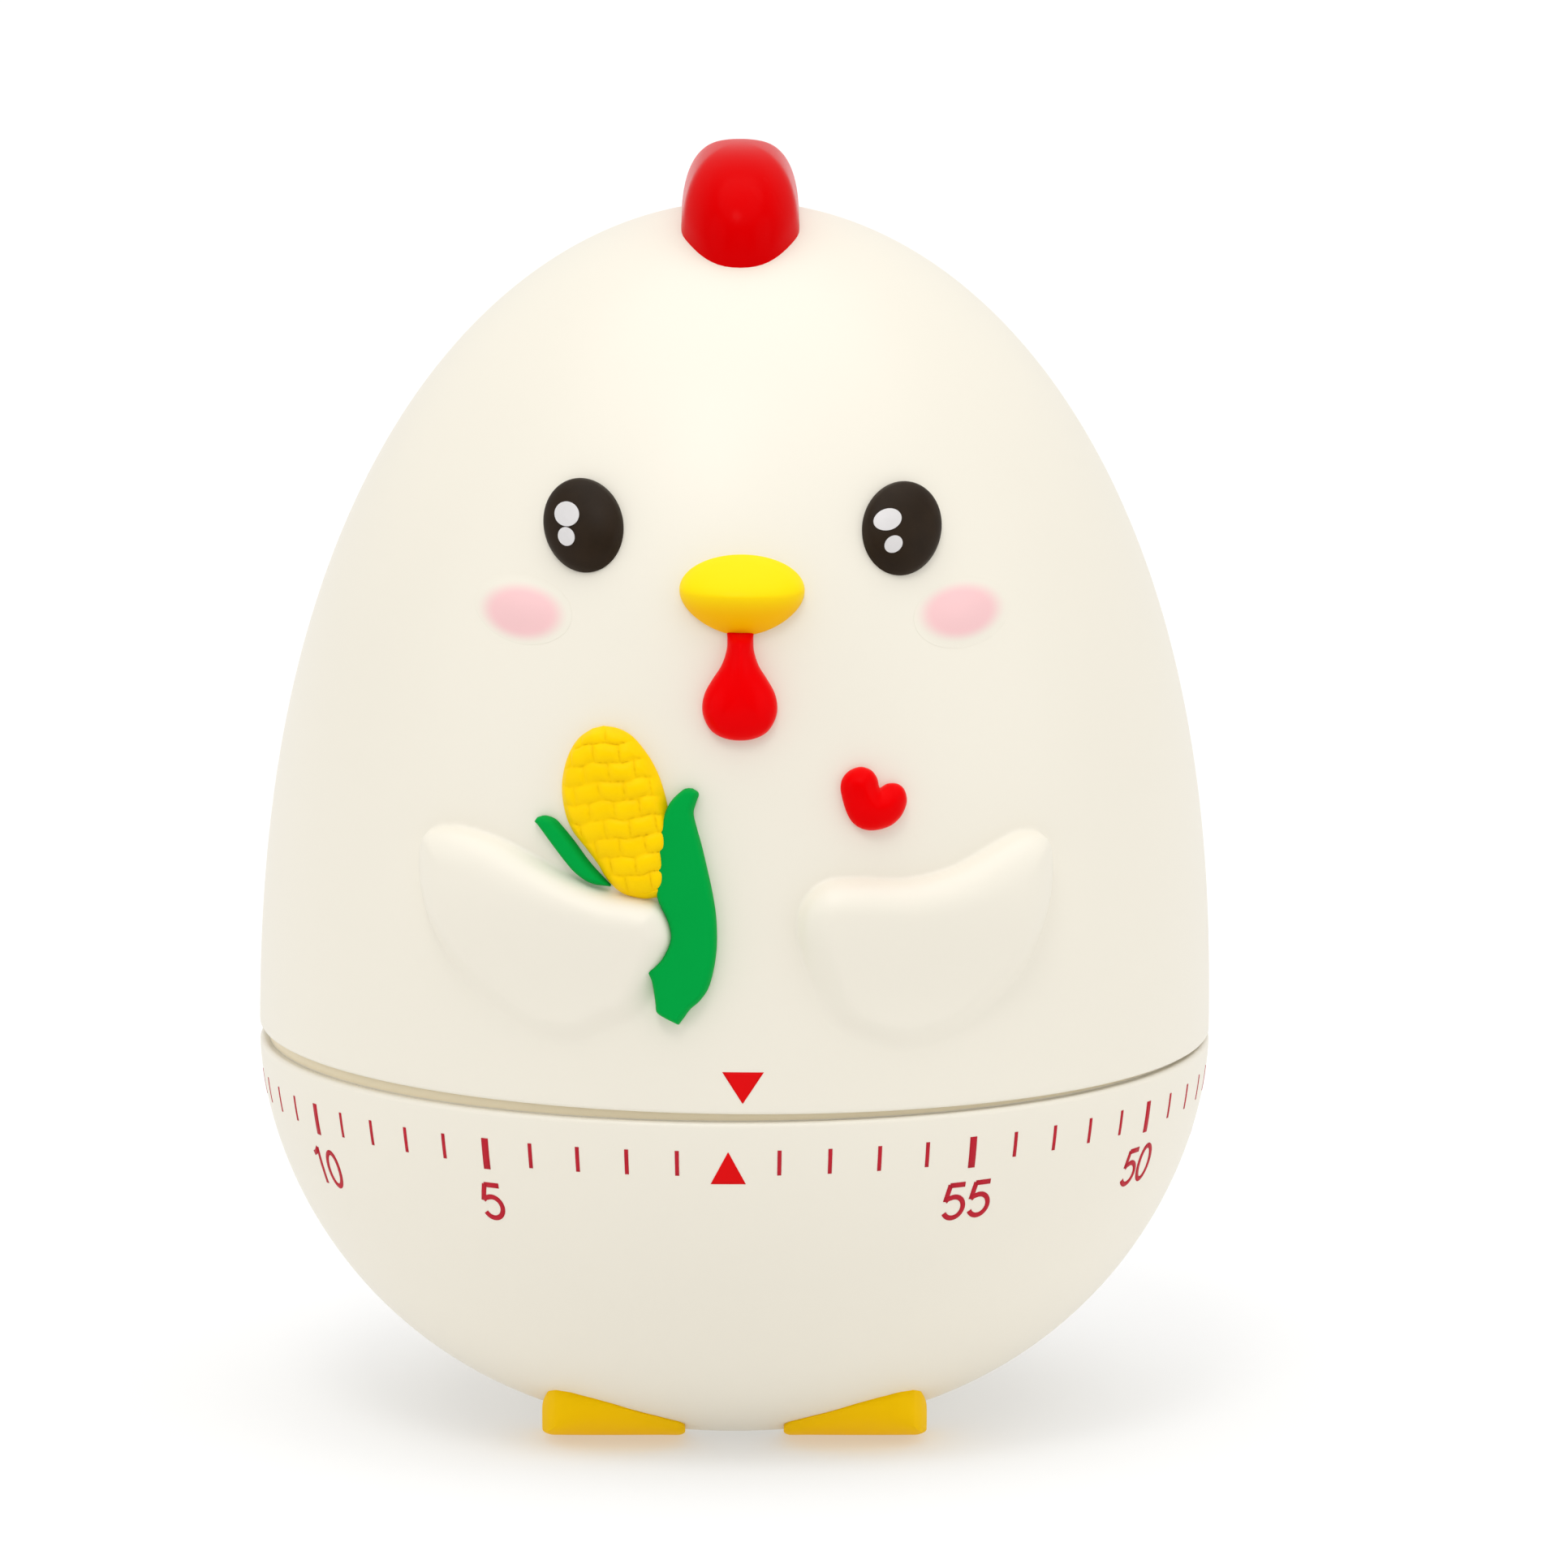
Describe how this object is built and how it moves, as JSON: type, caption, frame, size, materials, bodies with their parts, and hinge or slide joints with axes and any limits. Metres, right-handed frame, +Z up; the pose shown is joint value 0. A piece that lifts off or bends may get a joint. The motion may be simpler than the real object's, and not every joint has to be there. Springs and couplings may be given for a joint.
{
  "type": "kitchen timer",
  "caption": "Egg-shaped hen kitchen timer: the head turns on a bowl with a minute scale and winds a clockwork that rings a bell.",
  "frame": {"origin": "on the turning axis, in the flat base that the timer stands on", "axes": "+Z up along the turning axis, -Y is the way the face looks, +X is to the right as seen from in front"},
  "size_m": [0.0602, 0.061, 0.0808],
  "materials": {
    "cream_plastic": "satin moulded plastic, off-white",
    "red_gloss": "glossy red paint on plastic",
    "eye_dark": "dark brown paint, satin",
    "beak_yellow": "yellow paint, satin",
    "cheek_pink": "soft pink paint",
    "corn_yellow": "yellow paint, satin",
    "leaf_green": "flat green paint",
    "foot_yellow": "ochre yellow paint",
    "inner_plastic": "cream moulded plastic",
    "brass": "stamped brass",
    "steel": "turned steel",
    "spring_steel": "tempered spring strip",
    "bell_steel": "nickel-plated"
  },
  "bodies": {
    "base": {"lower_shell": "cream_plastic", "foot_left": "foot_yellow", "foot_right": "foot_yellow", "deck": "inner_plastic", "mount_plate": "brass", "bottom_plate": "brass", "pillar_1": "steel", "pillar_2": "steel", "pillar_3": "steel", "pillar_4": "steel", "plate_screw_1": "steel", "plate_screw_2": "steel", "plate_screw_3": "steel", "bell": "bell_steel", "bell_screw": "steel", "mainspring": "spring_steel", "spring_post": "steel"},
    "head": {"upper_shell": "cream_plastic", "comb": "red_gloss", "eye_left": "eye_dark", "eye_right": "eye_dark", "beak": "beak_yellow", "wattle": "red_gloss", "cheek_left": "cheek_pink", "cheek_right": "cheek_pink", "corn_cob": "corn_yellow", "corn_leaf_large": "leaf_green", "corn_leaf_small": "leaf_green", "heart": "red_gloss", "drive_disc": "inner_plastic", "drive_screw_1": "steel", "drive_screw_2": "steel", "drive_screw_3": "steel", "arbor_screw": "steel", "main_arbor": "steel", "ratchet_wheel": "brass", "great_wheel": "brass", "click_stud": "steel", "click_spring": "spring_steel"},
    "pawl": {"click": "steel"},
    "second": {"second_arbor": "steel", "second_wheel": "brass"},
    "third": {"third_arbor": "steel", "third_wheel": "brass"},
    "escape": {"escape_arbor": "steel", "escape_wheel": "brass"},
    "lever": {"lever_arbor": "steel", "pallet_lever": "steel"},
    "hammer": {"hammer_arbor": "steel", "hammer_arm": "steel"}
  },
  "joints": [
    {"name": "head_turn", "type": "hinge", "parent": "base", "child": "head", "pos_m": [0, 0, 0.0243], "axis": [0, 0, -1], "range_deg": [0, 352]},
    {"name": "second_spin", "type": "hinge", "parent": "base", "child": "second", "pos_m": [0.01052, 0.00383, 0.0146], "axis": [0, 0, -1], "continuous": true},
    {"name": "third_spin", "type": "hinge", "parent": "base", "child": "third", "pos_m": [0.00523, 0.0108, 0.0146], "axis": [0, 0, -1], "continuous": true},
    {"name": "escape_spin", "type": "hinge", "parent": "base", "child": "escape", "pos_m": [-0.00077, 0.01478, 0.0146], "axis": [0, 0, -1], "continuous": true},
    {"name": "lever_swing", "type": "hinge", "parent": "base", "child": "lever", "pos_m": [-0.00686, 0.01425, 0.0146], "axis": [0, 0, 1], "range_deg": [-9, 9]},
    {"name": "hammer_swing", "type": "hinge", "parent": "base", "child": "hammer", "pos_m": [0.00271, -0.01536, 0.013], "axis": [0, 0, 1], "range_deg": [-9, 5]},
    {"name": "click_lift", "type": "hinge", "parent": "head", "child": "pawl", "pos_m": [-0.00644, -0.00274, 0.0146], "axis": [0, 0, 1], "range_deg": [0, 14], "stiffness_Nm_per_rad": 0.00001}
  ],
  "couplings": [
    {"joint": "second_spin", "follows": "head_turn", "ratio": -6},
    {"joint": "third_spin", "follows": "head_turn", "ratio": 31.5},
    {"joint": "escape_spin", "follows": "head_turn", "ratio": -157.5}
  ]
}
